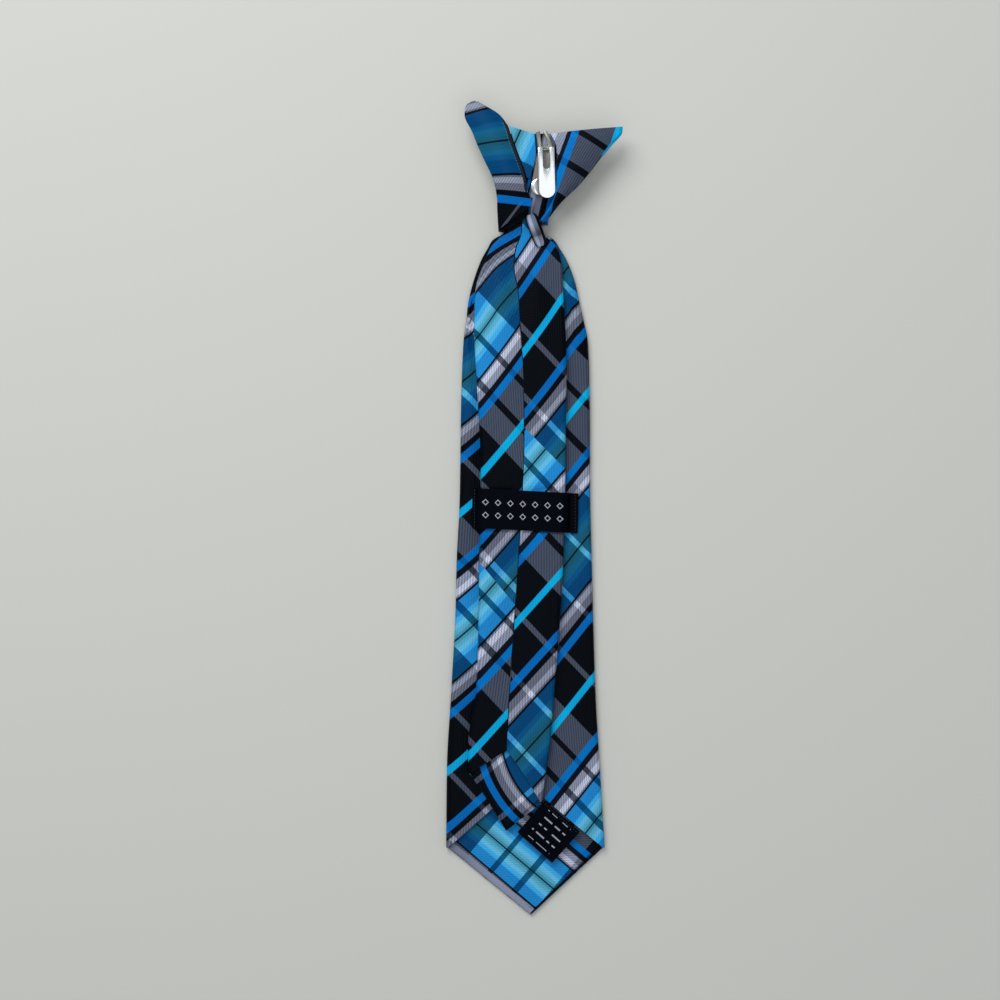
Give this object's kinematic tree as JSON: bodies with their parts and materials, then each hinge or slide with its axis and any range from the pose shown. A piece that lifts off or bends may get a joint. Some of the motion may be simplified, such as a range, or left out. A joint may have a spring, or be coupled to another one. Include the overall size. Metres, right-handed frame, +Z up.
{
  "type": "clip-on tie",
  "caption": "Boys' clip-on necktie in blue, black and grey plaid, lying on its face with its tail, keeper label and metal clip showing.",
  "frame": {"origin": "centre of the bounding box's underside, on the surface that the tie lies on", "axes": "+Y along the tie from its pointed tip to the knot, +X across it, +Z up from the face to the back"},
  "size_m": [0.0764, 0.3558, 0.016],
  "materials": {
    "plaid_satin": "woven satin plaid in black, grey, blue and aqua",
    "label_satin": "black woven satin",
    "clip_metal": "polished"
  },
  "bodies": {
    "tie": {"main_blade": "plaid_satin", "blade_tipping": "plaid_satin", "tail_blade": "plaid_satin", "tail_tipping": "plaid_satin", "keeper_label": "label_satin", "care_label": "label_satin", "knot": "plaid_satin", "left_wing": "plaid_satin", "right_wing": "plaid_satin", "left_inner_fold": "plaid_satin", "neck_roll": "plaid_satin", "clip_plate": "clip_metal", "clip_pin": "clip_metal"},
    "lever": {"clip_lever": "clip_metal"}
  },
  "joints": [
    {"name": "clip_hinge", "type": "hinge", "parent": "tie", "child": "lever", "pos_m": [0.00541, 0.15616, 0.01345], "axis": [-0.9997, -0.0262, 0], "range_deg": [0, 50], "stiffness_Nm_per_rad": 0.03, "springref_deg": -17.19}
  ]
}
